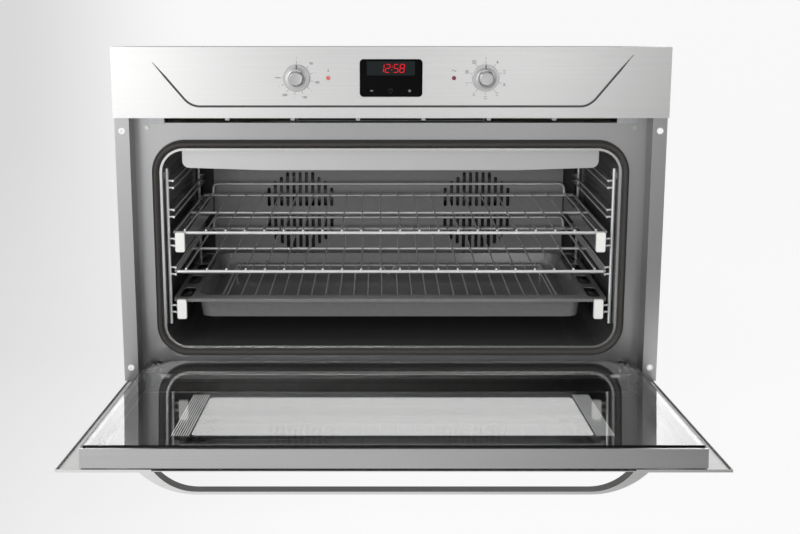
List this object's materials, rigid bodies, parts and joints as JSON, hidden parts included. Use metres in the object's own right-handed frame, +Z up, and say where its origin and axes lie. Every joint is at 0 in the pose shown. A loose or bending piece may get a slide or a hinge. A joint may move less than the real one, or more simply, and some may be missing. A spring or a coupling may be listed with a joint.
{
  "type": "built-in electric oven",
  "caption": "Wide built-in electric oven with its drop-down door open, wire shelves, a baking tray on telescopic slides and a flat control panel with knobs and a clock.",
  "frame": {"origin": "on the underside of the housing, midway across its width and midway between the back of the side flanges and the back of the housing", "axes": "+Z up, +X to the right as seen from the front, -Y towards the person using the oven"},
  "size_m": [0.895, 0.9708, 0.595],
  "materials": {
    "galvanised": "matt zinc coated sheet",
    "frame_steel": "satin grey steel",
    "brushed": "fine horizontal brushing",
    "enamel": "glossy dark vitreous enamel",
    "gasket": "matt silicone",
    "wool": "mineral wool",
    "chrome_wire": "polished wire",
    "screw_steel": "zinc plated",
    "wheel_alu": "bare pressed metal",
    "motor": "dark lacquer",
    "element": "matt oxidised sheath",
    "white_plastic": "glossy off-white",
    "black_plastic": "matt",
    "knob_metal": "satin, turned",
    "display": "black glass, opaque",
    "pilot": "red lens",
    "dark_glass": "dark printed and reflecting",
    "clear_glass": "clear"
  },
  "bodies": {
    "housing": {"housing_base": "galvanised", "housing_left_side": "galvanised", "housing_right_side": "galvanised", "housing_top": "galvanised", "housing_back_panel": "galvanised", "chassis_plate": "galvanised", "vent_strip": "galvanised", "blower_housing": "galvanised", "hinge_receptacles": "galvanised", "fixed_slides": "galvanised", "front_frame": "frame_steel", "grill_deflector": "frame_steel", "control_panel": "brushed", "cavity_shell": "enamel", "fan_cover": "enamel", "door_gasket": "gasket", "insulation_blanket": "wool", "left_ladder": "chrome_wire", "right_ladder": "chrome_wire", "housing_screws": "screw_steel", "ladder_screws": "screw_steel", "thermostat_bulb": "screw_steel", "hinge_arms": "screw_steel", "fan_motors": "motor", "blower_motor": "motor", "ring_elements": "element", "grill_element": "element", "floor_element": "element", "flange_bushes": "white_plastic", "clock_module": "black_plastic", "function_switch": "black_plastic", "thermostat": "black_plastic", "terminal_block": "black_plastic", "display_glass": "display", "pilot_lenses": "pilot"},
    "door": {"door_skin": "brushed", "door_window": "clear_glass", "middle_glass": "clear_glass", "inner_glass": "dark_glass", "door_frame": "frame_steel", "door_top_rail": "brushed", "door_handle": "brushed", "handle_screws": "screw_steel", "hinge_brackets": "frame_steel", "hinge_pins": "screw_steel"},
    "tray": {"baking_tray": "enamel", "tray_insert": "chrome_wire", "tray_slides": "galvanised", "tray_tabs": "white_plastic"},
    "tray_middle": {"tray_middle_slides": "galvanised"},
    "upper_shelf_body": {"upper_shelf": "chrome_wire", "shelf_slides": "galvanised", "shelf_tabs": "white_plastic"},
    "shelf_middle": {"shelf_middle_slides": "galvanised"},
    "lower_shelf_body": {"lower_shelf": "chrome_wire"},
    "function_knob_body": {"function_knob": "knob_metal"},
    "thermostat_knob_body": {"thermostat_knob": "knob_metal"},
    "left_fan": {"left_fan_wheel": "wheel_alu"},
    "right_fan": {"right_fan_wheel": "wheel_alu"},
    "blower": {"blower_wheel": "wheel_alu"}
  },
  "joints": [
    {"name": "baking_tray_slide", "type": "slide", "parent": "housing", "child": "tray", "axis": [0, 1, 0], "range_m": [-0.348, 0]},
    {"name": "door_hinge", "type": "hinge", "parent": "housing", "child": "door", "pos_m": [0, -0.2652, 0.045], "axis": [-1, 0, 0], "range_deg": [0, 85]},
    {"name": "function_knob_turn", "type": "hinge", "parent": "housing", "child": "function_knob_body", "pos_m": [0.151, -0.29, 0.5455], "axis": [0, 1, 0], "range_deg": [0, 270]},
    {"name": "thermostat_knob_turn", "type": "hinge", "parent": "housing", "child": "thermostat_knob_body", "pos_m": [-0.151, -0.29, 0.5455], "axis": [0, 1, 0], "range_deg": [0, 330]},
    {"name": "upper_shelf_slide", "type": "slide", "parent": "housing", "child": "upper_shelf_body", "axis": [0, 1, 0], "range_m": [-0.348, 0]},
    {"name": "lower_shelf_slide", "type": "slide", "parent": "housing", "child": "lower_shelf_body", "axis": [0, 1, 0], "range_m": [-0.2, 0]},
    {"name": "tray_middle_slide", "type": "slide", "parent": "housing", "child": "tray_middle", "axis": [0, 1, 0], "range_m": [-0.174, 0]},
    {"name": "shelf_middle_slide", "type": "slide", "parent": "housing", "child": "shelf_middle", "axis": [0, 1, 0], "range_m": [-0.174, 0]},
    {"name": "left_fan_spin", "type": "hinge", "parent": "housing", "child": "left_fan", "pos_m": [-0.176, 0.1568, 0.242], "axis": [0, 1, 0], "continuous": true},
    {"name": "right_fan_spin", "type": "hinge", "parent": "housing", "child": "right_fan", "pos_m": [0.176, 0.1568, 0.242], "axis": [0, 1, 0], "continuous": true},
    {"name": "blower_spin", "type": "hinge", "parent": "housing", "child": "blower", "pos_m": [0, -0.132, 0.515], "axis": [1, 0, 0], "continuous": true}
  ],
  "couplings": [
    {"joint": "tray_middle_slide", "follows": "baking_tray_slide", "ratio": 0.5},
    {"joint": "shelf_middle_slide", "follows": "upper_shelf_slide", "ratio": 0.5}
  ]
}
